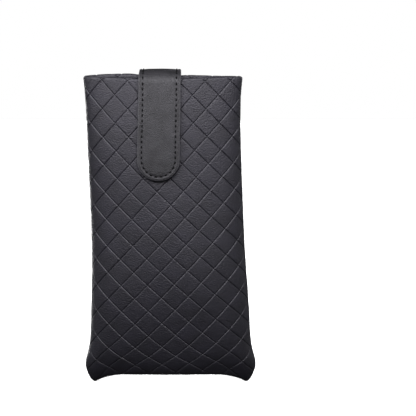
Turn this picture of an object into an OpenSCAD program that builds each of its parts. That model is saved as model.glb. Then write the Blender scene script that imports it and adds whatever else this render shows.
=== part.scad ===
// Soft upright glasses case: two embossed panels sewn into a pouch, with a magnetic tab over the mouth.
// Millimetres. +Z is up, the front faces -Y, and the origin is the middle of the base.

/* [Pouch] */
// Height of the front panel at its turned-over top edge
pouch_h = 174; // [165:1:185]
// Half of the width at the mouth
mouth_half_w = 45; // [44:0.5:48]
// Half of the width at the waist, the narrowest height
waist_half_w = 43; // [42:0.5:44]
// Half of the width at the bottom corners
corner_half_w = 47.5; // [45:0.5:49]
// Half of the outside depth at the mouth
mouth_half_d = 6.5; // [6.5:0.5:9]
// Half of the outside depth at the belly, the deepest height
belly_half_d = 17; // [15:0.5:20]
// Half of the width of the flat base
base_half_w = 40; // [37:0.5:42]
// Half of the depth of the flat base
base_half_d = 11; // [10:0.5:13]
// How far the back panel stands above the front panel in the middle of the mouth
back_rise = 1.2; // [0:0.1:2.5]

/* [Layers] */
// Thickness of the embossed outer leather
leather_t = 1; // [0.8:0.1:1.2]
// Thickness of the foam stiffener behind it
stiffener_t = 1; // [1:0.1:1.4]
// Thickness of the soft lining
lining_t = 0.6; // [0.4:0.1:0.8]
// Height of the leather turned over to the inside of the mouth
hem_h = 11; // [8:1:15]

/* [Tab] */
// Width of the tab
tab_w = 24; // [20:1:28]
// Length of the tab on the front, from the bend to its round tip
leaf_len = 58; // [50:1:70]
// Length of the tab sewn down on the back, from the bend to its round end
root_len = 40; // [32:1:50]
// Thickness of the tab's outer leather and of its backing
tab_skin_t = 0.8; // [0.7:0.1:0.9]
// Thickness of the interlining between them
tab_core_t = 1; // [0.8:0.1:1.2]
// Gap between the tab and the panels that it lies on
tab_gap = 0.6; // [0.5:0.1:0.8]
// Diameter of the two disc magnets
magnet_d = 14; // [10:1:16]

/* [Stitches] */
// Distance from one stitch to the next
stitch_pitch = 3; // [2.5:0.1:4]
// Length of one stitch
stitch_len = 2.2; // [1.6:0.1:2.4]
// Thickness of the thread
thread_d = 0.7; // [0.5:0.1:0.8]
// Distance from the tab's edge to its stitches
stitch_inset = 2.1; // [1.8:0.1:3]

/* [Hidden] */

// Colours
leather_colour = [0.25, 0.25, 0.27];
tab_colour = [0.33, 0.33, 0.33];
edge_colour = [0.16, 0.16, 0.17];
foam_colour = [0.55, 0.55, 0.58];
lining_colour = [0.42, 0.42, 0.45];
board_colour = [0.62, 0.56, 0.46];
thread_colour = [0.12, 0.12, 0.13];
magnet_colour = [0.75, 0.76, 0.78];

// Room for the glue on each face of a stiffener
glue_gap = 0.15;
// Insets of the layers from the outside face
leather_in = leather_t;
stiffener_out = leather_in + glue_gap;
stiffener_in = stiffener_out + stiffener_t;
lining_out = stiffener_in + glue_gap;
lining_in = lining_out + lining_t;
hem_in = lining_out + 0.8 * leather_t;

// Heights at which the pouch changes shape
corner_h = 12;
corner_blend_h = 62;
waist_h = 125;
belly_h = 50;
// Exponents of the cross-section: 2 is an ellipse, more is squarer
section_low = 2.8;
section_mouth = 2.4;
// How the belly runs out towards the mouth: 1 is straight, more bulges
belly_power = 1.6;
// How far the bottom edge of a panel stops short of the base's corners
base_taper = 3;

// Grid of the panels
columns = 22;
wall_rows = 16;
row_bias = 1.7;

// The tab in the YZ plane: two bends joined by a bar that slopes up to the back
bend_in = 1.1;
bend_backing = bend_in + tab_skin_t;
bend_core = bend_backing + tab_core_t;
bend_out = bend_core + tab_skin_t;
front_bend_y = -(mouth_half_d + tab_gap - bend_in);
front_bend_z = pouch_h - 0.6;
back_bend_y = mouth_half_d + tab_gap - bend_in;
back_bend_z = pouch_h + back_rise - 0.4;
bar_len = norm([back_bend_y - front_bend_y, back_bend_z - front_bend_z]);
bar_angle = atan2(back_bend_z - front_bend_z, back_bend_y - front_bend_y);
// Lean of the tab's hanging parts, which follow the panels from the mouth to the tip
tip_z = pouch_h - leaf_len;
tab_lean = atan2(half_depth(tip_z) - mouth_half_d, leaf_len);
front_split = (270 - tab_lean + bar_angle) / 2;
back_split = (270 - tab_lean - bar_angle) / 2;
// Half of the angle left open at each hinge line
split_gap = 2;
// Steps around each half bend of the crown
bend_steps = 8;
// Room between a magnet and the hole that it sits in
magnet_room = 0.2;
magnet_t = min(tab_core_t, stiffener_t) - 0.2;

// ---- shape of the pouch ----

// A quarter-ellipse rise from 0 at k = 0 to 1 at k = 1
function swell(k) = k >= 1 ? 1 : sqrt(1 - pow(1 - k, 2));
// A smooth step from 0 at k = 0 to 1 at k = 1
function ease(k) = k <= 0 ? 0 : k >= 1 ? 1 : k * k * (3 - 2 * k);
function signed_pow(v, p) = sign(v) * pow(abs(v), p);

function half_width(z) =
    z < corner_h ? base_half_w + (corner_half_w - base_half_w) * swell(z / corner_h)
    : z < waist_h
    ? corner_half_w + (waist_half_w - corner_half_w) * ease((z - corner_h) / corner_blend_h)
    : waist_half_w + (mouth_half_w - waist_half_w) * pow((z - waist_h) / (pouch_h - waist_h), 2);

function half_depth(z) =
    z < belly_h ? base_half_d + (belly_half_d - base_half_d) * swell(z / belly_h)
    : mouth_half_d + (belly_half_d - mouth_half_d)
      * (1 - pow(min(1, (z - belly_h) / (pouch_h - belly_h)), belly_power));

function section_power(z) = section_low + (section_mouth - section_low) * ease(z / pouch_h);

// A point of the front wall. around runs from 0 at the right seam to 180 at the left seam, across from 0
// at the middle of the base to 1 at its rim and everywhere above, and inset goes in from the outside.
function wall_point(around, z, across, inset, rise) =
    let (
        p = 2 / section_power(z),
        w = half_width(z) - base_taper * (1 - across) - inset,
        d = (half_depth(z) - inset) * across
    )
    [
        w * signed_pow(cos(around), p),
        -d * pow(abs(sin(around)), p),
        inset + z * (pouch_h - inset) / pouch_h + rise * pow(z / pouch_h, 3) * pow(sin(around), 2)
    ];

// Rows of the grid as [height, across, inset]
function base_rows(inset) = [for (k = [0 : 2]) [0, k / 3, inset]];
function side_rows(low, high, inset) =
    [for (k = [0 : wall_rows]) [low + (high - low) * pow(k / wall_rows, row_bias), 1, inset]];

// A sheet of the front wall between two lists of rows, one on each face
module wall_sheet(outer, inner, from = 0, to = 180, rise = 0) {
    n = columns + 1;
    last = len(outer) - 1;
    skip = n * len(outer);
    grid = [
        for (rows = [outer, inner])
        for (r = rows)
        for (i = [0 : columns])
        wall_point(from + (to - from) * i / columns, r[0], r[1], r[2], rise)
    ];
    // The diagonals of the cells lean towards the middle, so that no cell folds flat at the seams
    skins = [
        for (j = [0 : last - 1])
        for (i = [0 : columns - 1])
        let (a = j * n + i, b = a + 1, c = a + n, d = c + 1)
        each i < columns / 2
        ? [[a, b, d], [a, d, c], [a + skip, d + skip, b + skip], [a + skip, c + skip, d + skip]]
        : [[a, b, c], [b, d, c], [a + skip, c + skip, b + skip], [b + skip, c + skip, d + skip]]
    ];
    ends = [
        for (i = [0 : columns - 1])
        let (a = i, b = i + 1, c = last * n + i, d = c + 1)
        each [
            [a, a + skip, b + skip], [a, b + skip, b],
            [c, d + skip, c + skip], [c, d, d + skip]
        ]
    ];
    sides = [
        for (j = [0 : last - 1])
        let (a = j * n, b = a + n, c = a + columns, d = b + columns)
        each [
            [a, b + skip, a + skip], [a, b, b + skip],
            [c, c + skip, d + skip], [c, d + skip, d]
        ]
    ];
    polyhedron(points = grid, faces = concat(skins, ends, sides), convexity = 6);
}

// Outer leather: base, wall, over the top edge and down the inside as a hem
module leather_sheet(rise) {
    hem_z = pouch_h - hem_h;
    edge = 0.4 * leather_t;
    wall_top = pouch_h - leather_t;
    outer = concat(
        base_rows(0), side_rows(0, wall_top, 0),
        [[pouch_h, 1, edge], [pouch_h, 1, hem_in - edge], [wall_top, 1, hem_in], [hem_z, 1, hem_in]]
    );
    inner = concat(
        base_rows(leather_in), side_rows(0, wall_top - 0.1, leather_in),
        [
            [wall_top, 1, leather_in + 0.1], [wall_top, 1, lining_out - 0.1],
            [wall_top - 0.1, 1, lining_out], [hem_z, 1, lining_out]
        ]
    );
    wall_sheet(outer, inner, rise = rise);
}

module stiffener_sheet(rise) {
    low = 7;
    high = pouch_h - leather_t - 0.3;
    seam_clear = 5;
    wall_sheet(
        side_rows(low, high, stiffener_out), side_rows(low, high, stiffener_in),
        from = seam_clear, to = 180 - seam_clear, rise = rise
    );
}

module lining_sheet(rise) {
    high = pouch_h - hem_h - 0.2;
    wall_sheet(
        concat(base_rows(lining_out), side_rows(0, high, lining_out)),
        concat(base_rows(lining_in), side_rows(0, high, lining_in)),
        rise = rise
    );
}

// ---- tab ----

// Draws a YZ outline across the tab's width
module across_tab(width) {
    rotate([90, 0, 90])
        translate([0, 0, -width / 2])
            linear_extrude(width) children();
}

// Part of a ring from angle a1 to a2, less than half a turn
module ring_part(r_in, r_out, a1, a2) {
    reach = 3 * r_out;
    mid = (a1 + a2) / 2;
    intersection() {
        difference() {
            circle(r_out, $fn = 64);
            circle(r_in, $fn = 64);
        }
        polygon([
            [0, 0], reach * [cos(a1), sin(a1)], reach * [cos(mid), sin(mid)], reach * [cos(a2), sin(a2)]
        ]);
    }
}

// The frame of a hanging part: its length runs down -Z and its outside faces -Y
module on_front() {
    translate([0, front_bend_y, front_bend_z]) rotate([-tab_lean, 0, 0]) children();
}

module on_back() {
    mirror([0, 1, 0])
        translate([0, -back_bend_y, back_bend_z])
            rotate([-tab_lean, 0, 0]) children();
}

// Outline of a hanging part with its round end, as seen from the front
module tongue(length, edge) {
    r = tab_w / 2 - edge;
    translate([-r, -(length - tab_w / 2)]) square([2 * r, length - tab_w / 2]);
    translate([0, -(length - tab_w / 2)]) circle(r, $fn = 96);
}

// One layer of a hanging part, with the half of the bend above it
module hanging_layer(length, r_in, r_out, split, edge = 0) {
    translate([0, -r_in, 0])
        rotate([90, 0, 0])
            linear_extrude(r_out - r_in)
                difference() {
                    tongue(length, edge);
                    children();
                }
    across_tab(tab_w - 2 * edge)
        ring_part(r_in, r_out, split + split_gap + tab_lean, 180);
}

function arc_points(centre, r, a1, a2) =
    [for (k = [0 : bend_steps]) let (a = a1 + (a2 - a1) * k / bend_steps) centre + r * [cos(a), sin(a)]];

// One layer of the crown: a half bend at each end of the sloping bar
module crown_layer(r_in, r_out, edge = 0) {
    front = [front_bend_y, front_bend_z];
    back = [back_bend_y, back_bend_z];
    top = 90 + bar_angle;
    front_end = front_split - split_gap;
    back_end = 180 - back_split + split_gap;
    across_tab(tab_w - 2 * edge)
        polygon(concat(
            arc_points(front, r_out, front_end, top), arc_points(back, r_out, top, back_end),
            arc_points(back, r_in, back_end, top), arc_points(front, r_in, top, front_end)
        ));
}

// One stitch along Z, lying on a face that looks to -Y
module stitch() {
    translate([0, 0, -stitch_len / 2])
        linear_extrude(stitch_len)
            intersection() {
                circle(d = thread_d, $fn = 24);
                translate([-thread_d, -2 * thread_d]) square([2 * thread_d, 2 * thread_d]);
            }
}

// Stitches down both edges of a hanging part and around its end
module tongue_stitches(length) {
    r = tab_w / 2 - stitch_inset;
    straight = length - tab_w / 2;
    rows = floor(straight / stitch_pitch);
    turns = round(PI * r / stitch_pitch);
    translate([0, -bend_out, 0]) {
        for (side = [-1, 1])
            for (k = [0 : rows - 1])
                translate([side * r, 0, -(k + 0.5) * straight / rows]) stitch();
        for (k = [0 : turns - 1])
            translate([0, 0, -straight])
                rotate([0, (k + 0.5) * 180 / turns, 0])
                    translate([r, 0, 0]) stitch();
    }
}

module magnet_disc() {
    rotate([90, 0, 0]) cylinder(h = magnet_t, d = magnet_d, center = true, $fn = 64);
}

// Middle of the tab's magnet and of its hole, along the leaf
magnet_drop = leaf_len - tab_w / 2;
// How far the bulge of the panel brings the catch magnet out from the straight line of the leaf
catch_z = front_bend_z - magnet_drop * cos(tab_lean);
catch_bulge = half_depth(catch_z) - mouth_half_d - (pouch_h - catch_z) * tan(tab_lean);
// Depth of the catch magnet behind the leaf's frame
catch_y = tab_gap - bend_in + (stiffener_out + stiffener_in) / 2 - catch_bulge;

// ---- sub-parts ----

module front_panel() {
    color(leather_colour) leather_sheet(0);
}

module back_panel() {
    color(leather_colour) mirror([0, 1, 0]) leather_sheet(back_rise);
}

module front_stiffener() {
    color(foam_colour)
        difference() {
            stiffener_sheet(0);
            on_front()
                translate([0, catch_y, -magnet_drop])
                    rotate([90, 0, 0])
                        cylinder(h = 4 * stiffener_t, d = magnet_d + magnet_room, center = true, $fn = 64);
        }
}

module back_stiffener() {
    color(foam_colour) mirror([0, 1, 0]) stiffener_sheet(back_rise);
}

module base_board() {
    edge = 1.5;
    steps = 48;
    p = 2 / section_low;
    w = base_half_w - leather_in - edge;
    d = base_half_d - leather_in - edge;
    color(board_colour)
        translate([0, 0, stiffener_out])
            linear_extrude(stiffener_t)
                polygon([
                    for (i = [0 : steps - 1])
                    let (a = 360 * i / steps)
                    [w * signed_pow(cos(a), p), d * signed_pow(sin(a), p)]
                ]);
}

module front_lining() {
    color(lining_colour) lining_sheet(0);
}

module back_lining() {
    color(lining_colour) mirror([0, 1, 0]) lining_sheet(back_rise);
}

// Stitches inside a side seam, between the leather and the lining
module seam_thread(side) {
    low = 14;
    high = pouch_h - hem_h - 4;
    spare = (lining_out - leather_in - thread_d) / 2;
    count = floor((high - low) / stitch_pitch);
    color(thread_colour)
        for (k = [0 : count])
            let (z = low + k * stitch_pitch)
            translate([side * (half_width(z) - leather_in - spare - thread_d / 2), 0, z])
                cylinder(h = stitch_len, d = thread_d, $fn = 16);
}

module left_seam_thread() {
    seam_thread(-1);
}

module right_seam_thread() {
    seam_thread(1);
}

module catch_magnet() {
    color(magnet_colour)
        on_front() translate([0, catch_y, -magnet_drop]) magnet_disc();
}

module tab_root_outer() {
    color(tab_colour) on_back() hanging_layer(root_len, bend_core, bend_out, back_split);
}

module tab_root_core() {
    color(foam_colour)
        on_back() hanging_layer(root_len, bend_backing, bend_core, back_split, edge = tab_skin_t);
}

module tab_root_backing() {
    color(edge_colour) on_back() hanging_layer(root_len, bend_in, bend_backing, back_split);
}

module tab_root_thread() {
    color(thread_colour) on_back() tongue_stitches(root_len);
}

module tab_crown_outer() {
    color(tab_colour) crown_layer(bend_core, bend_out);
}

module tab_crown_core() {
    color(foam_colour) crown_layer(bend_backing, bend_core, edge = tab_skin_t);
}

module tab_crown_backing() {
    color(edge_colour) crown_layer(bend_in, bend_backing);
}

module tab_crown_thread() {
    count = floor(bar_len / stitch_pitch);
    color(thread_colour)
        translate([0, front_bend_y, front_bend_z])
            rotate([bar_angle, 0, 0])
                for (side = [-1, 1])
                    for (k = [0 : count - 1])
                        translate([
                            side * (tab_w / 2 - stitch_inset), (k + 0.5) * bar_len / count, bend_out
                        ])
                            rotate([-90, 0, 0]) stitch();
}

module tab_leaf_outer() {
    color(tab_colour) on_front() hanging_layer(leaf_len, bend_core, bend_out, front_split);
}

module tab_leaf_core() {
    color(foam_colour)
        on_front()
            hanging_layer(leaf_len, bend_backing, bend_core, front_split, edge = tab_skin_t)
                translate([0, -magnet_drop]) circle(d = magnet_d + magnet_room, $fn = 64);
}

module tab_leaf_backing() {
    color(edge_colour) on_front() hanging_layer(leaf_len, bend_in, bend_backing, front_split);
}

module tab_leaf_thread() {
    color(thread_colour) on_front() tongue_stitches(leaf_len);
}

module tab_magnet() {
    color(magnet_colour)
        on_front()
            translate([0, -(bend_backing + bend_core) / 2, -magnet_drop]) magnet_disc();
}

front_panel();
back_panel();
front_stiffener();
back_stiffener();
base_board();
front_lining();
back_lining();
left_seam_thread();
right_seam_thread();
catch_magnet();
tab_root_outer();
tab_root_core();
tab_root_backing();
tab_root_thread();
tab_crown_outer();
tab_crown_core();
tab_crown_backing();
tab_crown_thread();
tab_leaf_outer();
tab_leaf_core();
tab_leaf_backing();
tab_leaf_thread();
tab_magnet();
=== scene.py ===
"""Looks of the upright glasses case: embossed leather, lining, stitched tab, light and camera.

Shapes are worked out in millimetres and become metres when a mesh is made.
"""

import math

import bmesh
import bpy
import numpy as np
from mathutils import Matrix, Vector


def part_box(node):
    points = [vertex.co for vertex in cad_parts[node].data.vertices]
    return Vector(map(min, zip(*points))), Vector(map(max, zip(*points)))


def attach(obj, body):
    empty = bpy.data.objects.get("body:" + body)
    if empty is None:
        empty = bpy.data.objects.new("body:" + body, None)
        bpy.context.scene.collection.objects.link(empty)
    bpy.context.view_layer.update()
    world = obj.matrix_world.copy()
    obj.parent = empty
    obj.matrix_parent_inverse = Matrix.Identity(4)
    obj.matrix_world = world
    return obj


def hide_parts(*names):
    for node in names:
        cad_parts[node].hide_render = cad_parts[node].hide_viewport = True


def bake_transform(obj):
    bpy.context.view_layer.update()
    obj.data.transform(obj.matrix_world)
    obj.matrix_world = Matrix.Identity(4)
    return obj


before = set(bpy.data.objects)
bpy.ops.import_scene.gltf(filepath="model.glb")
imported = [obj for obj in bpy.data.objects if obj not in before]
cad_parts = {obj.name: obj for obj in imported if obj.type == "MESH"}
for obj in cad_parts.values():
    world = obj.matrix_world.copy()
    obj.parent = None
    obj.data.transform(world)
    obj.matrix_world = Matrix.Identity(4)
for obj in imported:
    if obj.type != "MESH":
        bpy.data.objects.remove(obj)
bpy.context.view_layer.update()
MM = 0.001

# ---- dimensions of the pouch, in millimetres ----


def box_mm(node):
    low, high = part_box(node)
    return np.array(low) / MM, np.array(high) / MM


# The depths and the layers are the CAD model's. The widths follow the photo's outline closer,
# where the foot has spread into two soft ears.
POUCH_H = box_mm("front_panel")[1][2]
BACK_RISE = box_mm("back_panel")[1][2] - POUCH_H
BASE_HALF_W = 43.2
BASE_HALF_D = 11.0
BASE_TAPER = 3.0
CORNER_HALF_W = 46.2
WAIST_HALF_W = 43.6
MOUTH_HALF_W = 45.3
MOUTH_HALF_D = 6.5
BELLY_HALF_D = 17.0
CORNER_H = 9.0
CORNER_BLEND_H = 84.0
EAR = 2.8
EAR_Z = 10.0
EAR_SPREAD = 9.0
WAIST_H = 125.0
BELLY_H = 50.0
BELLY_POWER = 1.6
SECTION_BASE = 2.1
SECTION_LOW = 2.8
SECTION_LOW_H = 25.0
SECTION_MOUTH = 2.4

LEATHER_T = 0.9
FOAM_OUT = 1.15
FOAM_T = 1.0
LINING_OUT = 2.3
LINING_T = 0.6
HEM_IN = 3.1
HEM_H = 11.0
LINING_TOP = 162.5

# ---- shape of the pouch ----


def swell(k):
    """A quarter-ellipse rise from 0 at k = 0 to 1 at k = 1."""
    k = np.clip(k, 0, 1)
    return np.sqrt(1 - (1 - k) ** 2)


def ease(k):
    """A smooth step from 0 at k = 0 to 1 at k = 1."""
    k = np.clip(k, 0, 1)
    return k * k * (3 - 2 * k)


def half_width(z):
    corner = BASE_HALF_W + (CORNER_HALF_W - BASE_HALF_W) * swell(z / CORNER_H)
    flank = CORNER_HALF_W + (WAIST_HALF_W - CORNER_HALF_W) * ease((z - CORNER_H) / CORNER_BLEND_H)
    flare = (MOUTH_HALF_W - WAIST_HALF_W) * np.clip((z - WAIST_H) / (POUCH_H - WAIST_H), 0, 1) ** 4
    ear = EAR * np.exp(-(((z - EAR_Z) / EAR_SPREAD) ** 2))
    return np.where(z < CORNER_H, corner, flank + flare) + ear


def half_depth(z):
    belly = BASE_HALF_D + (BELLY_HALF_D - BASE_HALF_D) * swell(z / BELLY_H)
    run_out = np.clip((z - BELLY_H) / (POUCH_H - BELLY_H), 0, 1) ** BELLY_POWER
    return np.where(z < BELLY_H, belly, MOUTH_HALF_D + (BELLY_HALF_D - MOUTH_HALF_D) * (1 - run_out))


def section_power(z):
    low = SECTION_BASE + (SECTION_LOW - SECTION_BASE) * ease(z / SECTION_LOW_H)
    return low + (SECTION_MOUTH - SECTION_LOW) * ease(z / POUCH_H)


# How the soft case has settled: the belly hangs to one side and the mouth leans to the other,
# the base arches between its corners, the walls are never quite flat, and the tab presses
# the mouth down in its middle.
ASIDE_LOW = 2.6
ASIDE_HIGH = -1.4
ASIDE_FROM = 25.0
ASIDE_OVER = 150.0
ARCH = 5.6
ARCH_POWER = 6
ARCH_SPREAD = 15.0
WARP = 0.35
WARP_UP = 0.055
WARP_ACROSS = 0.068
WARP_SKEW = 0.04
WARP_H = 190.0
TAB_X = -3.0
TAB_PRESS = 1.0
PRESS_HALF_W = 13.0
PRESS_FROM = 160.0
PRESS_OVER = 14.0
MOUTH_CURVE = 1.1
CURVE_FROM = 140.0
CURVE_OVER = 34.0


def aside_at(z):
    return ASIDE_LOW + (ASIDE_HIGH - ASIDE_LOW) * ease((z - ASIDE_FROM) / ASIDE_OVER)


def settle(p):
    """Moves points of the pouch from the symmetrical shape to the settled one."""
    x, y, z = p[..., 0], p[..., 1], p[..., 2]
    between = np.clip(1 - np.abs(x / BASE_HALF_W) ** ARCH_POWER, 0, 1)
    arch = ARCH * between * np.exp(-((z / ARCH_SPREAD) ** 2))
    waves = np.sin(WARP_UP * z + WARP_SKEW * x + 1.0) * np.sin(WARP_ACROSS * x + 0.5)
    warp = WARP * waves * np.sin(math.pi * z / WARP_H)
    under_tab = np.exp(-(((x - 1 - TAB_X) / PRESS_HALF_W) ** 4))
    press = TAB_PRESS * under_tab * ease((z - PRESS_FROM) / PRESS_OVER)
    lift = MOUTH_CURVE * (x / MOUTH_HALF_W) ** 2 * ease((z - CURVE_FROM) / CURVE_OVER)
    return np.stack([x + aside_at(z), y + warp, z + arch - press + lift], axis=-1)


class Wall:
    """One half of the pouch, as a table of points over t and u.

    t is the way up its middle from the bottom seam, and u runs from -1 at the left seam to 1
    at the right one. The front half has facing -1 and the back half 1.
    """

    SEAM_Y = -1.5
    SEAM_FADE = 15.0
    AROUND = 121
    TRACE = 700
    BASE_ROWS = 16
    WALL_ROWS = 240
    FOLD_ROWS = 19
    HEM_ROWS = 9
    # The back's top edge stands higher than the front's, most to the left of its middle
    BACK_LIFT = 1.9
    BACK_LIFT_POWER = 3
    BACK_LIFT_LEAN = 0.6

    def __init__(self, facing, inset=0.0, top=POUCH_H, hem=False):
        self.facing = facing
        rows = self.profile(inset, top, hem)
        halves = [self.half_row(*row) for row in rows]
        self.half_len = np.array([h[1] for h in halves])
        right = np.stack([h[0] for h in halves])
        left = right[:, :0:-1] * np.array([-1, 1, 1])
        table = np.concatenate([left, right], axis=1)
        if facing > 0:
            u = np.linspace(-1, 1, table.shape[1])
            up = (np.clip(table[..., 2], 0, None) / POUCH_H) ** self.BACK_LIFT_POWER
            across = (1 - u**2) * (1 - self.BACK_LIFT_LEAN * u)
            table[..., 2] += self.BACK_LIFT * BACK_RISE * up * across
        self.table = settle(table)
        middle = table[:, table.shape[1] // 2]
        steps = np.linalg.norm(np.diff(middle, axis=0), axis=1)
        self.t = np.concatenate([[0], np.cumsum(steps)])
        self.t_edge = self.t[self.wall_end]
        self.normal = self.normals()

    def profile(self, inset, top, hem):
        """Rows as (half width, half depth, exponent, height, seam y)."""
        rows = []
        for s in np.linspace(0, 1, self.BASE_ROWS)[:-1]:
            w = BASE_HALF_W - BASE_TAPER * (1 - s) - inset
            rows.append((w, (BASE_HALF_D - inset) * s, SECTION_BASE, inset, 0.0))
        fold_r = HEM_IN / 2
        if hem:
            top -= fold_r
        for k in np.linspace(0, 1, self.WALL_ROWS) ** 1.5:
            z = k * top
            lifted = inset + z * (1 - inset / POUCH_H)
            seam = self.SEAM_Y * float(ease(z / self.SEAM_FADE))
            rows.append((float(half_width(z)) - inset, float(half_depth(z)) - inset,
                         float(section_power(z)), lifted, seam))
        self.wall_end = len(rows) - 1
        if not hem:
            return rows
        w, d, n, _, seam = rows[-1]
        for a in np.linspace(0, math.pi, self.FOLD_ROWS)[1:]:
            off = fold_r * (1 - math.cos(a))
            rows.append((w - off, d - off, n, top + fold_r * math.sin(a), seam))
        for k in np.linspace(0, 1, self.HEM_ROWS)[1:]:
            rows.append((w - HEM_IN, d - HEM_IN, n, top - k * (HEM_H - fold_r), seam))
        return rows

    def half_row(self, w, d, n, z, seam_y):
        """Even points from the middle of the panel round to the right seam, and their length."""
        p = 2 / n
        # The front panel stops at the seam before the side, and the back panel runs past the side to it
        reach = math.asin(min(1.0, (abs(seam_y) / max(d, 1e-6)) ** (1 / p)))
        end = -reach if self.facing > 0 else reach
        a = np.linspace(math.pi / 2, end, self.TRACE)
        x = w * np.abs(np.cos(a)) ** p
        y = self.facing * d * np.sign(np.sin(a)) * np.abs(np.sin(a)) ** p
        length = np.concatenate([[0], np.cumsum(np.hypot(np.diff(x), np.diff(y)))])
        even = np.linspace(0, length[-1], self.AROUND)
        across, deep = np.interp(even, length, x), np.interp(even, length, y)
        return np.stack([across, deep, np.full(self.AROUND, z)], axis=-1), length[-1]

    def normals(self):
        along = np.gradient(self.table, axis=0)
        across = np.gradient(self.table, axis=1)
        n = np.cross(across, along) * (1 if self.facing < 0 else -1)
        size = np.linalg.norm(n, axis=-1, keepdims=True)
        return n / np.maximum(size, 1e-9)

    def length_at(self, t):
        """Half of the panel's width at t. The hem keeps the edge's value, so a pattern runs on."""
        return np.interp(np.minimum(t, self.t_edge), self.t, self.half_len)

    def sample(self, table, t, u):
        """Values of a table at t and u, between its four nearest points."""
        row = np.interp(t, self.t, np.arange(len(self.t)))
        col = (np.clip(u, -1, 1) + 1) / 2 * (table.shape[1] - 1)
        i = np.clip(row.astype(int), 0, table.shape[0] - 2)
        j = np.clip(col.astype(int), 0, table.shape[1] - 2)
        f, g = (row - i)[:, None], (col - j)[:, None]
        return ((table[i, j] * (1 - f) + table[i + 1, j] * f) * (1 - g)
                + (table[i, j + 1] * (1 - f) + table[i + 1, j + 1] * f) * g)

    def place(self, t, u, height):
        """Points at t and u, standing height above the surface."""
        n = self.sample(self.normal, t, u)
        n /= np.maximum(np.linalg.norm(n, axis=-1, keepdims=True), 1e-9)
        return self.sample(self.table, t, u) + n * height[:, None]


# ---- mesh helpers ----


def grid_faces(rows, cols):
    """Quads over a table of points."""
    faces = []
    for r in range(rows - 1):
        for k in range(cols - 1):
            a = r * cols + k
            faces.append((a, a + 1, a + cols + 1, a + cols))
    return faces


def ring_faces(rings, count):
    """Quads between closed rings of points, and a cap at each end."""
    faces = []
    for r in range(rings - 1):
        for k in range(count):
            a, b = r * count + k, r * count + (k + 1) % count
            faces.append((a, b, b + count, a + count))
    faces.append(tuple(range(count))[::-1])
    faces.append(tuple(range((rings - 1) * count, rings * count)))
    return faces


def make_object(name, points, faces, material):
    mesh = bpy.data.meshes.new(name)
    places = [tuple(p) for p in np.asarray(points) * MM]
    mesh.from_pydata(places, [], [tuple(int(i) for i in f) for f in faces])
    mesh.materials.append(material)
    mesh.polygons.foreach_set("use_smooth", [True] * len(mesh.polygons))
    mesh.update()
    obj = bpy.data.objects.new(name, mesh)
    bpy.context.scene.collection.objects.link(obj)
    return obj


def store(obj, name, values):
    """Keeps a number or a place for each vertex, for the materials."""
    values = np.asarray(values, np.float32)
    kind, field = ("FLOAT", "value") if values.ndim == 1 else ("FLOAT_VECTOR", "vector")
    obj.data.attributes.new(name, kind, "POINT").data.foreach_set(field, values.ravel())


def apply_modifiers(obj):
    graph = bpy.context.evaluated_depsgraph_get()
    mesh = bpy.data.meshes.new_from_object(obj.evaluated_get(graph))
    obj.modifiers.clear()
    obj.data = mesh


def thicken(obj, thickness):
    """Gives an open sheet its thickness, towards its inside."""
    solid = obj.modifiers.new("thickness", "SOLIDIFY")
    solid.thickness = thickness * MM
    solid.offset = -1
    apply_modifiers(obj)
    face_outwards(obj)


def face_outwards(obj):
    bm = bmesh.new()
    bm.from_mesh(obj.data)
    bmesh.ops.recalc_face_normals(bm, faces=bm.faces)
    bm.to_mesh(obj.data)
    bm.free()


# ---- embossed leather ----

# The embossing is a lattice of diamonds, like wide straps woven on the diagonal. Its nodes lie
# where the half-column number i and the half-row number j, counted from the middle of the
# mouth, add up to an even number.
GROOVE_HALF_W = 0.43
GROOVE_DEPTH = 0.31
GROOVE_POWER = 1.1
STRAP_W = 10.9
PILLOW = 0.14
PILLOW_EDGE = 0.35
PILLOW_POWER = 0.6
SEAM_ROLL = 0.95
SEAM_ROLL_DEPTH = 0.8
# Distances from a side seam or the bottom seam at which the sheet is cut, so that it can roll in
ROLL_CUTS = (0.08, 0.25, 0.5, 0.8)
HEM_CUTS = 10
# Cuts across one half of a strap of the lattice, closest beside the groove. The other half
# mirrors them.
HALF_CUTS = [0.012, 0.027, 0.046, 0.08, 0.17, 0.29, 0.42]
STRAP_CUTS = [0, *HALF_CUTS, *(1 - k for k in HALF_CUTS[::-1])]
# The lattice reaches this many half-columns aside and half-rows above the mouth, for the hem
SIDE_COLS = 8
ROWS_ABOVE = 4
ROWS_BELOW = 12


class Lattice:
    """How the embossing lies on a panel: the size of its diamonds, and how the cut has drawn it.

    aside and start place its first node. The other values are small shears and bends, for each
    ten half-columns or half-rows.
    """

    # The row, in tens of half-rows, at which a half-column is half_col wide
    EVEN_ROW = 0.8

    def __init__(self, half_col, half_row, start, aside, shorten=0.0, turn=0.0, bow=0.0, spread=0.0,
                 drift=0.0, curve=0.0, tilt=0.0):
        self.half_col, self.half_row, self.start, self.aside = half_col, half_row, start, aside
        self.shorten, self.turn, self.bow, self.spread = shorten, turn, bow, spread
        self.drift, self.curve, self.tilt = drift, curve, tilt

    def lay(self, i, j):
        """Half-column and half-row to (aside from the middle, down from the mouth)."""
        col, row = i / 10, j / 10
        step = self.half_col * (1 + self.spread * (row - self.EVEN_ROW))
        aside = self.aside + step * i + self.drift * row + self.curve * row**2
        down = (self.start + self.half_row * j + self.shorten * row**2 + self.tilt * col
                + self.turn * col * row + self.bow * col**2 * row)
        return aside, down


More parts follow.
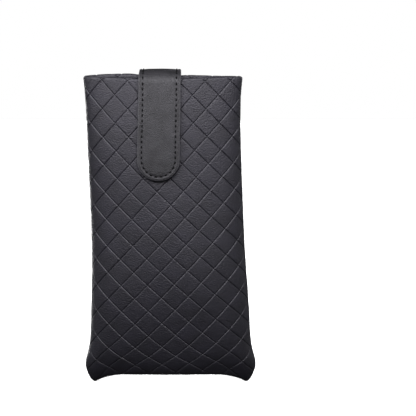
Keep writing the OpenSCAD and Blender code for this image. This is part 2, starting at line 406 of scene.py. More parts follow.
def relief(p, q):
    """Height of the embossed surface at lattice coordinates p and q, and its share of groove."""
    fp, fq = p - np.floor(p), q - np.floor(q)
    ep, eq = np.minimum(fp, 1 - fp) * STRAP_W, np.minimum(fq, 1 - fq) * STRAP_W
    near = np.minimum(ep, eq)
    groove = np.clip(1 - near / GROOVE_HALF_W, 0, 1) ** GROOVE_POWER
    # Each diamond is a stretch of one strap, crowned across it, and the straps take turns on top
    over = (np.floor(p) + np.floor(q)) % 2 < 0.5
    across, along = np.where(over, fp, fq), np.where(over, fq, fp)
    crown = PILLOW_EDGE + (1 - PILLOW_EDGE) * np.sin(math.pi * across)
    pillow = crown * np.sin(math.pi * along) ** PILLOW_POWER
    return PILLOW * pillow - GROOVE_DEPTH * groove, groove


def lattice_sheet(wall, lattice, t_end):
    """A flat mesh cut along the lattice and trimmed to the panel, as (u, t, p, q) arrays and faces."""
    mouth_t = wall.t_edge + HEM_IN / 2 * math.pi / 2
    cuts = np.array(STRAP_CUTS)
    count = len(cuts)
    rows = int(t_end / lattice.half_row) + ROWS_BELOW
    low_p, high_p = -(SIDE_COLS + ROWS_ABOVE) // 2, rows
    grid = {}
    bm = bmesh.new()
    p_layer = bm.verts.layers.float.new("p")
    q_layer = bm.verts.layers.float.new("q")

    def vertex(a, b):
        if (a, b) not in grid:
            p = low_p + a // count + cuts[a % count]
            q = b // count + cuts[b % count] - rows
            aside, down = lattice.lay(p + q, p - q)
            t = mouth_t - down
            v = bm.verts.new((aside / float(wall.length_at(t)), t, 0))
            v[p_layer], v[q_layer] = p, q
            grid[a, b] = v
        return grid[a, b]

    for cell_p in range(low_p, high_p):
        for cell_q in range(-rows, SIDE_COLS):
            i, j = cell_p + cell_q + 1, cell_p - cell_q
            if abs(i) > SIDE_COLS or not -ROWS_ABOVE <= j <= rows:
                continue
            a0, b0 = (cell_p - low_p) * count, (cell_q + rows) * count
            for a in range(a0, a0 + count):
                for b in range(b0, b0 + count):
                    around = ((a, b), (a + 1, b), (a + 1, b + 1), (a, b + 1))
                    bm.faces.new([vertex(*corner) for corner in around])

    def cut(point, normal, trim=True):
        whole = bm.verts[:] + bm.edges[:] + bm.faces[:]
        bmesh.ops.bisect_plane(bm, geom=whole, dist=1e-7, plane_co=point, plane_no=normal,
                               clear_outer=trim)

    # The trims come first, and the finer cuts after
    cut((1, 0, 0), (1, 0, 0))
    cut((-1, 0, 0), (-1, 0, 0))
    cut((0, 0, 0), (0, -1, 0))
    cut((0, t_end, 0), (0, 1, 0))
    half = float(wall.length_at(wall.t_edge))
    for off in ROLL_CUTS:
        for side in (-1, 1):
            cut((side * (1 - off / half), 0, 0), (1, 0, 0), trim=False)
        cut((0, off, 0), (0, 1, 0), trim=False)
    for k in range(HEM_CUTS + 1):
        cut((0, wall.t_edge + k * HEM_IN / 2 * math.pi / HEM_CUTS, 0), (0, 1, 0), trim=False)
    # A cut divides an edge of the lattice in proportion, so the lattice coordinates divide with it
    bm.verts.ensure_lookup_table()
    flat = np.array([(v.co.x, v.co.y, v[p_layer], v[q_layer]) for v in bm.verts])
    for n, v in enumerate(bm.verts):
        v.index = n
    faces = [[v.index for v in f.verts] for f in bm.faces]
    bm.free()
    return flat, faces


def embossed_panel(name, facing, lattice, material):
    """The outer leather of one half, turned over at the mouth."""
    wall = Wall(facing, hem=True)
    sheet, faces = lattice_sheet(wall, lattice, wall.t[-1])
    u, t, p, q = sheet.T
    height, groove = relief(p, q)
    # The edges roll in to the side seams and to the bottom seam
    to_seam = (1 - np.abs(u)) * wall.length_at(t)
    for gap in (to_seam, t):
        k = np.clip(gap / SEAM_ROLL, 0, 1)
        height -= SEAM_ROLL * (1 - np.sqrt(1 - (1 - k) ** 2)) * SEAM_ROLL_DEPTH
    points = wall.place(t, u, height)
    if facing > 0:
        faces = [f[::-1] for f in faces]
    obj = make_object(name, points, faces, material)
    # The share of groove darkens the colour in the grooves, a painted shade, and makes them smoother
    store(obj, "groove", groove)
    flat = [u * wall.length_at(t), t, np.full_like(t, 40.0 * facing)]
    store(obj, "flat", np.stack(flat, axis=-1))
    thicken(obj, LEATHER_T)
    return obj


# ---- plain layers inside ----


SHEET_ROWS = 90
SHEET_COLS = 48
CARD_INSET = 2.5
MAGNET_BEVEL = 0.12


def layer_sheet(name, facing, inset, thickness, t_low, top, u_max, material, wave=0.0):
    """A plain layer of one half of the pouch, as a grid. It ripples inwards by up to twice the wave."""
    wall = Wall(facing, inset=inset, top=top)
    t = np.linspace(t_low, wall.t[-1], SHEET_ROWS)
    u = np.linspace(-u_max, u_max, SHEET_COLS)
    tt, uu = (m.ravel() for m in np.meshgrid(t, u, indexing="ij"))
    height = -wave * (1 + np.sin(0.21 * tt + 2.3 * uu) * np.sin(5.1 * uu + 0.05 * tt))
    faces = grid_faces(SHEET_ROWS, SHEET_COLS)
    if facing > 0:
        faces = [f[::-1] for f in faces]
    obj = make_object(name, wall.place(tt, uu, height), faces, material)
    flat = [uu * wall.length_at(tt), tt, np.full_like(tt, 10.0 * facing)]
    store(obj, "flat", np.stack(flat, axis=-1))
    thicken(obj, thickness)
    return obj


def lathe_plate(name, outline, profile, place, material):
    """A closed plate of rings: outline gives one for a share of its size, at a height of the profile."""
    rings = [place(outline(share), height) for share, height in profile]
    points = np.concatenate(rings)
    obj = make_object(name, points, ring_faces(len(rings), len(rings[0])), material)
    face_outwards(obj)
    store(obj, "flat", points)
    return obj


def base_card(material):
    """The board in the base, arched with it."""
    w, d = BASE_HALF_W - CARD_INSET, BASE_HALF_D - CARD_INSET
    angles = np.linspace(0, 2 * math.pi, 97)[:-1]
    p = 2 / SECTION_LOW
    cos, sin = np.cos(angles), np.sin(angles)
    rim = np.stack([w * np.sign(cos) * np.abs(cos) ** p, d * np.sign(sin) * np.abs(sin) ** p], axis=-1)

    def place(ring, height):
        return settle(np.concatenate([ring, np.full((len(ring), 1), height)], axis=1))

    shares = [0.04, 0.25, 0.5, 0.75, 0.9, 0.985]
    profile = [(k, FOAM_OUT) for k in shares]
    profile += [(1.0, FOAM_OUT + 0.15), (1.0, FOAM_OUT + FOAM_T - 0.15)]
    profile += [(k, FOAM_OUT + FOAM_T) for k in shares[::-1]]
    return lathe_plate("base_card", lambda share: rim * share, profile, place, material)


def disc(name, centre, axis_up, radius, thickness, material):
    """A magnet: a disc with rounded rims. axis_up is the direction that its face looks to."""
    n = Vector(axis_up).normalized()
    side = Vector((1, 0, 0))
    up = n.cross(side)
    basis = np.array([side, up])
    angles = np.linspace(0, 2 * math.pi, 73)[:-1]
    rim = np.stack([np.cos(angles), np.sin(angles)], axis=-1)

    def place(ring, height):
        return np.array(centre) + ring @ basis + height * np.array(n)

    edge, h = MAGNET_BEVEL / radius, thickness / 2
    half = [(0.05, h), (0.6, h), (1 - edge, h), (1 - 0.3 * edge, h - 0.04), (1, h - MAGNET_BEVEL)]
    profile = [(share, -up) for share, up in half] + half[::-1]
    return lathe_plate(name, lambda share: rim * share * radius, profile, place, material)


def tube(points, radius, sides=8):
    """Vertices and faces of a closed round thread along points, with a radius for each of them."""
    points = np.asarray(points)
    along = np.gradient(points, axis=0)
    along /= np.linalg.norm(along, axis=1, keepdims=True)
    up = np.array([0.0, 0.0, 1.0]) if abs(along[0][2]) < 0.8 else np.array([0.0, 1.0, 0.0])
    side = np.cross(along, up)
    side /= np.linalg.norm(side, axis=1, keepdims=True)
    other = np.cross(side, along)
    turn = np.linspace(0, 2 * math.pi, sides, endpoint=False)
    ring = np.cos(turn)[None, :, None] * side[:, None] + np.sin(turn)[None, :, None] * other[:, None]
    verts = (points[:, None] + ring * np.asarray(radius)[:, None, None]).reshape(-1, 3)
    return verts, ring_faces(len(points), sides)


def join_tubes(name, tubes, material):
    points, faces, first = [], [], 0
    for verts, tube_faces in tubes:
        points.append(verts)
        faces += [tuple(i + first for i in f) for f in tube_faces]
        first += len(verts)
    points = np.concatenate(points)
    obj = make_object(name, points, faces, material)
    face_outwards(obj)
    store(obj, "flat", points)
    return obj


THREAD_D = 0.8
# A stitch thins towards its two ends, where it goes into the leather
THREAD_TAPER = np.array([0.55, 0.9, 1.0, 1.0, 1.0, 0.9, 0.55])
SEAM_PITCH = 3.0
SEAM_LOW = 24.0
SEAM_SHORT = 5.0
SEAM_SUNK = 0.62
SEAM_DIP = 0.35
SEAM_REACH = 0.8


def seam_stitches(name, side, wall, material):
    """Short stitches across the valley of a side seam."""
    along = np.linspace(-1, 1, len(THREAD_TAPER))
    tubes = []
    for t in np.arange(SEAM_LOW, wall.t_edge - SEAM_SHORT, SEAM_PITCH):
        base = wall.sample(wall.table, np.array([t]), np.array([float(side)]))[0]
        y = base[1] + SEAM_REACH * along
        x = base[0] - side * (SEAM_SUNK + SEAM_DIP * along**4)
        points = np.stack([x, y, np.full(len(along), base[2])], axis=-1)
        tubes.append(tube(points, THREAD_TAPER * THREAD_D / 2))
    return join_tubes(name, tubes, material)


# ---- tab ----

TAB_HALF_W = 11.85
TAB_T = 1.75
SKIN_LOW = 0.85
CORE_LOW = 0.5
BACKING_LOW = 0.0
RIM = 0.22
RIM_INSET = 1.05
RIM_SPREAD = 0.55
# How far in from the outline the painted highlight along the tab's rim reaches
RIM_LIGHT = 0.4
PAD = 0.42
PAD_OVER = 2.2
STITCH_INSET = 2.4
STITCH_PITCH = 2.9
STITCH_REACH = 0.75
STITCH_RISE = 0.2
STITCH_DIP = 0.55
STITCH_GROOVE = 0.08
STITCH_GROOVE_W = 0.5
# Corners of the tab's inner face in the YZ plane, and the radius of its bend at each
CROWN_CUT = (0.0, 176.15)
FRONT_CORNER = (-7.15, 174.4)
FRONT_BEND_R = 5.5
BACK_CORNER = (7.0, 177.9)
BACK_BEND_R = 2.6
LEAF_TIP_Z = 116.2
ROOT_END_Z = 134.5
LEAF_LIFT = 0.15
ROOT_LIFT = 0.15
LEAF_LEAN = -0.6
LEAN_FROM = 10.0
LEAN_OVER = 45.0
LEAF_BOW = 1.0


class Strap:
    """Half of the tab, from the cut across the crown over one bend to a round end.

    Its own coordinates are x across, s along its inner face from the cut, and h out from it.
    """

    BAR_POINTS = 11
    BEND_POINTS = 13
    HANG_POINTS = 60

    def __init__(self, corner, bend_r, end, side):
        self.side = side
        points = self.rounded(np.array(CROWN_CUT), np.array(corner), np.array(end), bend_r)
        steps = np.linalg.norm(np.diff(points, axis=0), axis=1)
        self.s = np.concatenate([[0], np.cumsum(steps)])
        self.length = self.s[-1]
        self.bend_end = self.s[self.BAR_POINTS + self.BEND_POINTS - 1]
        self.yz = points
        along = np.gradient(points, axis=0)
        along /= np.linalg.norm(along, axis=1, keepdims=True)
        self.out = side * np.stack([-along[:, 1], along[:, 0]], axis=-1)

    def rounded(self, start, corner, end, r):
        """The line from start to end by way of the corner, rounded there."""
        a = (start - corner) / np.linalg.norm(start - corner)
        b = (end - corner) / np.linalg.norm(end - corner)
        half = math.acos(float(a @ b)) / 2
        cut = r / math.tan(half)
        middle = corner + (a + b) / np.linalg.norm(a + b) * r / math.sin(half)
        first, last = corner + a * cut, corner + b * cut
        k = np.linspace(0, 1, self.BEND_POINTS)[:, None]
        turn = math.pi - 2 * half
        v0, v1 = first - middle, last - middle
        arc = middle + (np.sin((1 - k) * turn) * v0 + np.sin(k * turn) * v1) / math.sin(turn)
        bar = start + (first - start) * np.linspace(0, 1, self.BAR_POINTS + 1)[:-1, None]
        hang = last + (end - last) * np.linspace(0, 1, self.HANG_POINTS)[1:, None]
        return np.concatenate([bar, arc, hang])

    def place(self, x, s, h):
        s = np.asarray(s, float)
        y, z = (np.interp(s, self.s, self.yz[:, k]) for k in (0, 1))
        oy, oz = (np.interp(s, self.s, self.out[:, k]) for k in (0, 1))
        size = np.hypot(oy, oz)
        # The leaf in front hangs a little aslant and bows out, and the root behind lies straight
        hang = np.clip((s - self.bend_end) / (self.length - self.bend_end), 0, 1)
        lean = LEAF_LEAN * ease((s - LEAN_FROM) / LEAN_OVER) if self.side < 0 else 0
        bow = LEAF_BOW * 4 * hang * (1 - hang) if self.side < 0 else 0
        return np.stack([TAB_X + x + lean, y - bow + h * oy / size, z + h * oz / size], axis=-1)

    def edge(self, inset):
        """The line at a distance inside the outline, as a function of the length along it.

        It gives the place and the direction inwards, each as (x, s).
        """
        r, straight = TAB_HALF_W - inset, self.length - TAB_HALF_W
        total = 2 * straight + math.pi * r

        def at(length):
            if length < straight:
                return (-r, length), (1.0, 0.0)
            if length > total - straight:
                return (r, total - length), (-1.0, 0.0)
            a = (length - straight) / r
            place = (-r * math.cos(a), straight + r * math.sin(a))
            return place, (math.cos(a), -math.sin(a))

        return at, total, straight

    def stations(self):
        """Lengths along the outline, close together at the bend and around the end."""
        _, total, straight = self.edge(0)
        bend_over, bend_step, step, end_count = 16, 0.55, 1.6, 45
        bend = np.arange(0, bend_over, bend_step)
        down = np.linspace(bend_over, straight, int((straight - bend_over) / step))
        down = np.concatenate([bend, down])
        around = np.linspace(straight, total - straight, end_count)[1:-1]
        return np.concatenate([down, around, total - down[::-1]])

    def layer(self, name, rib, material, bumps=0.0):
        """A closed layer. rib is its section, as (inset, h), from the middle over the edge and back."""
        at, _, _ = self.edge(0)
        verts, flat = [], []
        rib = np.array(rib)
        stations = self.stations()
        for length in stations:
            (x, s), (in_x, in_s) = at(length)
            px, ps = x + rib[:, 0] * in_x, s + rib[:, 0] * in_s
            sway = bumps * np.sin(0.5 * ps + 0.3 * px) * np.sin(0.37 * px) * (rib[:, 0] > 3)
            verts.append(self.place(px, ps, rib[:, 1] + sway))
            flat.append(np.stack([px, ps, rib[:, 1] + 20 * self.side], axis=-1))
        n, rows = len(rib), len(stations)
        faces = grid_faces(rows, n)
        # The cut across the crown closes the layer
        last = (rows - 1) * n
        faces.append([*range(n)] + [last + k for k in range(n - 2, 0, -1)])
        obj = make_object(name, np.concatenate(verts), faces, material)
        store(obj, "flat", np.concatenate(flat))
        # How near each point is to the outline, which sets the painted highlight along the tab's rim
        store(obj, "rim", np.tile(np.clip(1 - rib[:, 0] / RIM_LIGHT, 0, 1) ** 0.5, rows))
        obj.data.polygons[len(faces) - 1].use_smooth = False
        self.weld(obj)
        return obj

    @staticmethod
    def weld(obj):
        bm = bmesh.new()
        bm.from_mesh(obj.data)
        bmesh.ops.remove_doubles(bm, verts=bm.verts, dist=1e-6)
        bmesh.ops.dissolve_degenerate(bm, edges=bm.edges, dist=1e-7)
        bmesh.ops.recalc_face_normals(bm, faces=bm.faces)
        bm.to_mesh(obj.data)
        bm.free()

    def stitches(self, name, material):
        at, total, _ = self.edge(STITCH_INSET)
        count = int(total / STITCH_PITCH)
        floor = skin_height(np.array([STITCH_INSET]))[0]
        along = np.linspace(-1, 1, len(THREAD_TAPER))
        h = floor + STITCH_RISE - STITCH_DIP * np.abs(along) ** 3.0
        tubes = []
        for k in range(count):
            spots = [at(total * (k + 0.5) / count + STITCH_REACH * a)[0] for a in along]
            x, s = np.array(spots).T
            tubes.append(tube(self.place(x, s, h), THREAD_TAPER * THREAD_D / 2))
        return join_tubes(name, tubes, material)


def skin_height(inset):
    """Height of the tab's outer face: a rim, a stitched groove and a padded middle."""
    rim = RIM * np.exp(-(((inset - RIM_INSET) / RIM_SPREAD) ** 2))
    groove = STITCH_GROOVE * np.exp(-(((inset - STITCH_INSET) / STITCH_GROOVE_W) ** 2))
    pad = PAD * (1 - np.exp(-np.clip(inset - STITCH_INSET, 0, None) / PAD_OVER))
    return TAB_T + rim - groove + pad


def skin_rib():
    round_r = 0.5
    rim_insets = [round_r, 0.62, 0.78, 0.95, 1.12, 1.3, 1.48, 1.66, 1.84, 2.0]
    stitch_insets = [2.13, 2.26, 2.4, 2.54, 2.67, 2.8, 3.0, 3.3, 3.7, 4.2]
    insets = rim_insets + stitch_insets + [5.0, 6.4, 8.2, 10.2, TAB_HALF_W]
    face = [(e, float(skin_height(np.array([e]))[0])) for e in insets[::-1]]
    top = face[-1][1]
    corner = [(round_r * (1 - math.sin(a)), top - round_r * (1 - math.cos(a)))
              for a in np.linspace(0, math.pi / 2, 7)[1:]]
    under = [(0.02, SKIN_LOW + 0.1)]
    under += [(inset, SKIN_LOW) for inset in (0.14, 0.6, 4.0, TAB_HALF_W)]
    return face + corner + under


def backing_rib():
    top = [(inset, CORE_LOW) for inset in (TAB_HALF_W, 4.0, 0.7, 0.2)]
    edge = [(0.1, CORE_LOW - 0.06), (0.06, 0.3), (0.1, 0.14), (0.22, 0.04)]
    low = BACKING_LOW
    # The thread draws the backing in along its line
    face = [(0.42, low), (1.2, low), (2.1, low + 0.12), (3.0, low), (6.0, low), (TAB_HALF_W, low)]
    return top + edge + face


def core_rib():
    inset, bevel = 0.22, 0.08
    top = [(e, SKIN_LOW) for e in (TAB_HALF_W, 4.0, 0.4)]
    edge = [(inset, SKIN_LOW - bevel), (inset, CORE_LOW + bevel)]
    return top + edge + [(e, CORE_LOW) for e in (0.4, 4.0, TAB_HALF_W)]


# ---- materials ----


def new_material(name):
    material = bpy.data.materials.new(name)
    material.use_nodes = True
    return material, material.node_tree


def mixed(tree, factor, a, b):
    """A mix of two colours, each an (r, g, b) or a socket."""
    mix = tree.nodes.new("ShaderNodeMix")
    mix.data_type = "RGBA"
    tree.links.new(factor, mix.inputs[0])
    for colour, socket in ((a, mix.inputs[6]), (b, mix.inputs[7])):
        if isinstance(colour, tuple):
            socket.default_value = (*colour, 1)
        else:
            tree.links.new(colour, socket)
    return mix.outputs[2]


class Recipe:
    """A procedural material around one Principled shader, on the flat coordinates of a piece."""

    def __init__(self, name, scale=(1, 1, 1)):
        self.material, self.tree = new_material(name)
        self.shader = self.tree.nodes["Principled BSDF"]
        where = self.node("ShaderNodeAttribute", attribute_name="flat")
        stretch = self.node("ShaderNodeMapping")
        stretch.inputs["Scale"].default_value = scale
        self.join(where.outputs["Vector"], stretch.inputs["Vector"])
        self.where = stretch.outputs["Vector"]

    def node(self, kind, **values):
        made = self.tree.nodes.new(kind)
        for key, value in values.items():
            setattr(made, key, value)
        return made

    def join(self, a, b):
        self.tree.links.new(a, b)

    def noise(self, scale, detail=3.0, rough=0.55):
        made = self.node("ShaderNodeTexNoise")
        made.inputs["Scale"].default_value = scale
        made.inputs["Detail"].default_value = detail
        made.inputs["Roughness"].default_value = rough
        self.join(self.where, made.inputs["Vector"])
        return made.outputs["Fac"]

    def cells(self, scale):
        made = self.node("ShaderNodeTexVoronoi")
        made.inputs["Scale"].default_value = scale
        self.join(self.where, made.inputs["Vector"])
        return made.outputs["Distance"]

    def ramp(self, value, low, high, start=0.0, end=1.0):
        made = self.node("ShaderNodeMapRange")
        made.inputs["From Min"].default_value = start
        made.inputs["From Max"].default_value = end
        made.inputs["To Min"].default_value = low
        made.inputs["To Max"].default_value = high
        self.join(value, made.inputs["Value"])
        return made.outputs["Result"]

    def math(self, kind, a, b):
        made = self.node("ShaderNodeMath", operation=kind)
        self.join(a, made.inputs[0])
        self.join(b, made.inputs[1])
        return made.outputs[0]

    def attribute(self, name):
        return self.node("ShaderNodeAttribute", attribute_name=name).outputs["Fac"]

    def colour(self, share, low, high):
        return mixed(self.tree, share, low, high)

    def bump(self, height, distance, under=None):
        """Relief of a depth in millimetres, on top of the one under it."""
        made = self.node("ShaderNodeBump")
        made.inputs["Strength"].default_value = 1.0
        made.inputs["Distance"].default_value = distance * MM
        self.join(height, made.inputs["Height"])
        if under is not None:
            self.join(under, made.inputs["Normal"])
        return made.outputs["Normal"]

    def finish(self, colour, rough, normal, **fixed):
        self.join(colour, self.shader.inputs["Base Color"])
        if isinstance(rough, (int, float)):
            self.shader.inputs["Roughness"].default_value = rough
        else:
            self.join(rough, self.shader.inputs["Roughness"])
        self.join(normal, self.shader.inputs["Normal"])
        for key, value in fixed.items():
            self.shader.inputs[key.replace("_", " ")].default_value = value
        return self.material


def leather(name, dark, light, rough, grain, grain_depth, groove=False, stretch=1.0,
            gloss=(1, 1, 1), speckle=1.7, edge=None):
    """Leather of two mixed colours. grain and speckle count pebbles and specks to the millimetre."""
    r = Recipe(name, scale=(1 / stretch, 1, 1))
    mottle = r.noise(0.12, 4.0, 0.6)
    fine = r.noise(speckle, 3.0, 0.7)
    patches = r.ramp(mottle, -0.1, 0.75, 0.3, 0.7)
    share = r.math("ADD", patches, r.ramp(fine, -0.15, 0.25, 0.3, 0.7))
    polish = r.ramp(r.noise(0.5, 3.0), rough - 0.05, rough + 0.06, 0.3, 0.7)
    if groove:
        # The hot plate has smoothed the grooves, and their colour is darker, a painted shade in the
        # recesses
        groove_press_and_shade = r.attribute("groove")
        share = r.math("SUBTRACT", share, r.ramp(groove_press_and_shade, 0.0, 0.35))
        polish = r.math("SUBTRACT", polish, r.ramp(groove_press_and_shade, 0.0, 0.2))
    pebbles = r.ramp(r.cells(grain), 1.0, 0.0, 0.0, 0.9)
    coarse = r.bump(pebbles, grain_depth)
    normal = r.bump(fine, grain_depth * 1.4, under=coarse)
    colour = r.colour(share, dark, light)
    if edge:
        # A painted highlight: the colour turns lighter towards the cut edge, where a light line runs
        # along the tab's outline
        colour = r.colour(r.attribute("rim"), colour, edge)
    return r.finish(colour, polish, normal, Specular_Tint=(*gloss, 1))


def thread_material():
    r = Recipe("bonded_thread")
    plies = r.noise(2.6, 2.0)
    share = r.ramp(r.noise(1.2), 0, 1, 0.3, 0.7)
    colour = r.colour(share, (0.0015, 0.0015, 0.0017), (0.004, 0.004, 0.0045))
    rough = r.ramp(plies, 0.75, 0.9)
    return r.finish(colour, rough, r.bump(plies, 0.08), Specular_IOR_Level=0.15)


def microfibre():
    r = Recipe("microfibre")
    nap = r.noise(1.6, 5.0, 0.7)
    share = r.ramp(r.noise(0.08), 0, 1, 0.3, 0.7)
    colour = r.colour(share, (0.028, 0.028, 0.031), (0.055, 0.054, 0.058))
    return r.finish(colour, 0.9, r.bump(nap, 0.12), Sheen_Weight=0.5, Sheen_Roughness=0.4)


def foam():
    r = Recipe("foam_sheet")
    pores = r.cells(2.2)
    colour = r.colour(r.ramp(pores, 0, 1, 0.0, 0.5), (0.22, 0.22, 0.235), (0.42, 0.42, 0.44))
    return r.finish(colour, 0.85, r.bump(pores, 0.15))


def board():
    r = Recipe("pressed_board", scale=(0.25, 1, 1))
    fibres = r.noise(2.0, 5.0, 0.7)
    colour = r.colour(r.ramp(fibres, 0, 1, 0.3, 0.7), (0.24, 0.19, 0.13), (0.42, 0.36, 0.27))
    return r.finish(colour, 0.8, r.bump(fibres, 0.06))


def nickel():
    r = Recipe("nickel_plate", scale=(1, 1, 6))
    scuff = r.noise(1.5, 4.0)
    colour = r.colour(r.ramp(scuff, 0, 1, 0.3, 0.7), (0.55, 0.56, 0.57), (0.74, 0.74, 0.74))
    return r.finish(colour, r.ramp(scuff, 0.16, 0.34), r.bump(scuff, 0.01), Metallic=1.0)


# ---- the pieces ----


def add(piece, slot, body, *nodes):
    """Hides the nodes that a piece stands for and puts it on its body; a piece between two bodies only
    has its place baked into its mesh. slot is not used.
    """
    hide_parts(*nodes)
    if isinstance(body, str):
        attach(piece, body)
    else:
        a, b, start, end = body
        tuple(v * MM for v in start)
        tuple(v * MM for v in end)
        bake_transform(piece)


def bore(piece, centre, axis, radius):
    """Cuts a round hole through a sheet."""
    bpy.ops.mesh.primitive_cylinder_add(vertices=72, radius=radius * MM, depth=8 * MM)
    tool = bpy.context.object
    tool.location = Vector(centre) * MM
    tool.rotation_euler = Vector(axis).to_track_quat("Z", "Y").to_euler()
    cut = piece.modifiers.new("hole", "BOOLEAN")
    cut.operation = "DIFFERENCE"
    cut.solver = "EXACT"
    cut.object = tool
    bpy.context.view_layer.update()
    apply_modifiers(piece)
    mesh = tool.data
    bpy.data.objects.remove(tool)
    bpy.data.meshes.remove(mesh)


MAGNET_R = 7.0
MAGNET_T = 0.8
MAGNET_GAP = 0.1
CATCH_DOWN = 48.5
CATCH_ASIDE = TAB_X / 50
TAB_DISC_R = 6.5
TAB_DISC_T = 0.3
TAB_DISC_H = 0.7
FOAM_LOW = 20.0
FOAM_TOP = 172.4
FOAM_REACH = 0.92
LINING_LOW = 0.4
LINING_REACH = 0.995
LINING_WAVE = 0.08

FRONT_LATTICE = Lattice(7.43, 7.96, -4.87, 1.96, shorten=-2.09, tilt=0.84, turn=-2.94,
                        bow=-2.06, spread=0.023, drift=1.23, curve=-0.29)
BACK_LATTICE = Lattice(7.44, 7.9, -3.0, 2.2, shorten=-0.6, turn=1.1, bow=-1.2, drift=-1.2, curve=0.7)


def build_catch(sheet):
    """The magnet behind the front leather, in a hole of the foam."""
    wall = Wall(-1, inset=FOAM_OUT + FOAM_T / 2)
    spot = np.array([wall.t_edge - CATCH_DOWN]), np.array([CATCH_ASIDE])
    centre = wall.sample(wall.table, *spot)[0]
    axis = wall.sample(wall.normal, *spot)[0]
    bore(sheet, centre, axis, MAGNET_R + MAGNET_GAP)
    magnet = disc("catch_disc", centre, axis, MAGNET_R, MAGNET_T, nickel())
    add(magnet, "magnet", "pouch", "catch_magnet")


def build_pouch(yarn):
    embossed = leather("embossed_leather", (0.0049, 0.0047, 0.0071), (0.0117, 0.0112, 0.0168),
                       0.5, 1.7, 0.12, groove=True, stretch=1.6, gloss=(0.98, 0.965, 1.0))
    padding, fibre = foam(), microfibre()
    front = embossed_panel("front_leather", -1, FRONT_LATTICE, embossed)
    add(front, "embossed_leather", "pouch", "front_panel")
    back = embossed_panel("back_leather", 1, BACK_LATTICE, embossed)
    add(back, "embossed_leather", "pouch", "back_panel")

    for facing, side in ((-1, "front"), (1, "back")):
        sheet = layer_sheet(side + "_foam", facing, FOAM_OUT, FOAM_T, FOAM_LOW, FOAM_TOP,
                            FOAM_REACH, padding)
        if facing < 0:
            build_catch(sheet)
        add(sheet, "foam", "pouch", side + "_stiffener")
        lining = layer_sheet(side + "_microfibre", facing, LINING_OUT, LINING_T, LINING_LOW,
                             LINING_TOP, LINING_REACH, fibre, wave=LINING_WAVE)
        add(lining, "lining", "pouch", side + "_lining")

    add(base_card(board()), "board", "pouch", "base_board")
    seam_wall = Wall(-1)
    for side, name in ((-1, "left_seam"), (1, "right_seam")):
        stitches = seam_stitches(name + "_stitches", side, seam_wall, yarn)
        add(stitches, "thread", "pouch", name + "_thread")


# Two places on each half of the tab, given with its two bodies; the halves are not blended between them
FRONT_BLEND = ((0, -4.0, 176.2), (0, -9.5, 171.0))
BACK_BLEND = ((0, 10.0, 172.5), (0, 3.0, 178.5))


def build_tab_disc(strap):
    """The magnet in the tab's round end."""
    middle = np.array([strap.length - TAB_HALF_W])
    low = strap.place(np.zeros(1), middle, np.array([TAB_DISC_H]))[0]
    high = strap.place(np.zeros(1), middle, np.array([TAB_DISC_H + 1]))[0]
    magnet = disc("tab_disc", low, high - low, TAB_DISC_R, TAB_DISC_T, nickel())
    add(magnet, "magnet", "tab_leaf", "tab_magnet")


def build_tab(yarn):
    # The edge colour is a painted highlight along the tab's outline
    smooth = leather("smooth_leather", (0.0042, 0.004, 0.0048), (0.0262, 0.0254, 0.0282),
                     0.5, 2.0, 0.17, speckle=1.3, edge=(0.08, 0.078, 0.084))
    backing = leather("backing_leather", (0.011, 0.0105, 0.0115), (0.022, 0.021, 0.0225),
                      0.55, 2.0, 0.08)
    padding = foam()
    leaf_end = (-(float(half_depth(LEAF_TIP_Z)) + LEAF_LIFT), LEAF_TIP_Z)
    root_end = (float(half_depth(ROOT_END_Z)) + ROOT_LIFT, ROOT_END_Z)
    front = Strap(FRONT_CORNER, FRONT_BEND_R, leaf_end, -1)
    back = Strap(BACK_CORNER, BACK_BEND_R, root_end, 1)
    halves = (
        ("front", front, ("tab_crown", "tab_leaf"), ("tab_crown", "tab_leaf", *FRONT_BLEND)),
        ("back", back, ("tab_root",), ("pouch", "tab_crown", *BACK_BLEND)),
    )
    for side, strap, nodes, body in halves:
        skin = strap.layer(f"tab_{side}_leather", skin_rib(), smooth, bumps=0.05)
        add(skin, "tab_leather", body, *[n + "_outer" for n in nodes])
        core = strap.layer(f"tab_{side}_interlining", core_rib(), padding)
        add(core, "foam", body, *[n + "_core" for n in nodes])
        under = strap.layer(f"tab_{side}_backing", backing_rib(), backing)
        add(under, "tab_leather", body, *[n + "_backing" for n in nodes])
        stitches = strap.stitches(f"tab_{side}_stitches", yarn)
        add(stitches, "thread", body, *[n + "_thread" for n in nodes])
        if side == "front":
            build_tab_disc(strap)


# ---- light, floor and camera, in metres ----


ROOM_AHEAD = (0.024, 0.0245, 0.026)
ROOM_ASIDE = (0.95, 0.95, 0.99)
FLOOR_REACH = 6.0
FLOOR_SEEN = (0.95, 0.95, 0.95)
FLOOR_FOR_CASE = (0.03, 0.03, 0.032)
WASH_ANGLE = 60


def studio_world():
    """A white background for the camera, and a dim room for the light on the case."""
    world = bpy.data.worlds.new("studio")
    world.use_nodes = True
    tree = world.node_tree
    background = tree.nodes["Background"]
    # The room is lighter to the sides than ahead, by the square of a ray's share of sideways travel
    way = tree.nodes.new("ShaderNodeTexCoord")
    parts = tree.nodes.new("ShaderNodeSeparateXYZ")
    sideways = tree.nodes.new("ShaderNodeMath")
    sideways.operation = "MULTIPLY"
    tree.links.new(way.outputs["Generated"], parts.inputs["Vector"])
    tree.links.new(parts.outputs["X"], sideways.inputs[0])
    tree.links.new(parts.outputs["X"], sideways.inputs[1])
    room = mixed(tree, sideways.outputs[0], ROOM_AHEAD, ROOM_ASIDE)
    path = tree.nodes.new("ShaderNodeLightPath")
    seen = mixed(tree, path.outputs["Is Camera Ray"], room, (1, 1, 1))
    tree.links.new(seen, background.inputs["Color"])
    bpy.context.scene.world = world


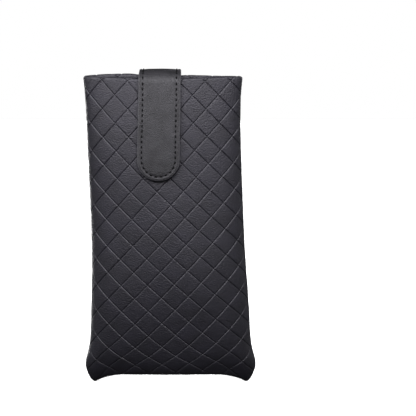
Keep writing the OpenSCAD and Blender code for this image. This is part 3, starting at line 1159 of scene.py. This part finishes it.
def studio_floor():
    """A pale floor, which throws less light back on the case than the camera sees."""
    mesh = bpy.data.meshes.new("floor")
    corners = [(x * FLOOR_REACH, y * FLOOR_REACH, 0) for x, y in ((-1, -1), (1, -1), (1, 1), (-1, 1))]
    mesh.from_pydata(corners, [], [(0, 1, 2, 3)])
    material, tree = new_material("pale_floor")
    path = tree.nodes.new("ShaderNodeLightPath")
    colour = mixed(tree, path.outputs["Is Camera Ray"], FLOOR_FOR_CASE, FLOOR_SEEN)
    shader = tree.nodes["Principled BSDF"]
    tree.links.new(colour, shader.inputs["Base Color"])
    shader.inputs["Roughness"].default_value = 0.8
    shader.inputs["Specular IOR Level"].default_value = 0.0
    mesh.materials.append(material)
    floor = bpy.data.objects.new("floor", mesh)
    bpy.context.scene.collection.objects.link(floor)
    return floor


def add_lamp(name, kind, place, aim, power, size=None):
    """A lamp at a place, turned to its aim. size is a softbox's width and height."""
    data = bpy.data.lights.new(name, kind)
    data.energy = power
    if size:
        data.shape = "RECTANGLE"
        data.size, data.size_y = size
    lamp = bpy.data.objects.new(name, data)
    lamp.location = place
    lamp.rotation_euler = (Vector(aim) - Vector(place)).to_track_quat("-Z", "Y").to_euler()
    bpy.context.scene.collection.objects.link(lamp)
    return lamp


def build_studio():
    studio_world()
    floor = studio_floor()
    # One near softbox lights the case from above its front, so the light falls off towards the base
    key = add_lamp("key", "AREA", (-0.036, -0.288, 0.408), (0, 0, 0.165), 4.1, (0.7, 0.26))
    key.data.color = (1.0, 0.985, 1.05)
    # One behind shows the back and its strap. It hangs lower than the crown, which it would make glare
    add_lamp("back_light", "AREA", (-0.25, 0.6, 0.1), (0, 0, 0.1), 5.0, (0.5, 0.08))
    # The floor has a light of its own, which keeps it evenly pale
    wash = add_lamp("floor_wash", "SUN", (0.3, -0.4, 1.0), (0, 0, 0), 4.8)
    wash.data.angle = math.radians(WASH_ANGLE)
    lit = bpy.data.collections.new("lit_by_wash")
    lit.objects.link(floor)
    wash.light_linking.receiver_collection = lit
    wash.light_linking.blocker_collection = lit
    bpy.context.scene.view_settings.view_transform = "Standard"


CAMERA_DISTANCE = 0.8
CAMERA_ELEVATION = 5.0
CAMERA_AIM = (0.0242, 0.0, 0.1)
CAMERA_LENS = 121.07


def build_camera():
    data = bpy.data.cameras.new("camera")
    data.sensor_width = 36
    data.lens = CAMERA_LENS
    data.clip_start = 0.01
    camera = bpy.data.objects.new("camera", data)
    tilt = math.radians(CAMERA_ELEVATION)
    aim = Vector(CAMERA_AIM)
    camera.location = aim + CAMERA_DISTANCE * Vector((0, -math.cos(tilt), math.sin(tilt)))
    camera.rotation_euler = (aim - camera.location).to_track_quat("-Z", "Y").to_euler()
    bpy.context.scene.collection.objects.link(camera)
    bpy.context.scene.camera = camera


build_camera()
build_studio()
thread = thread_material()
build_pouch(thread)
build_tab(thread)
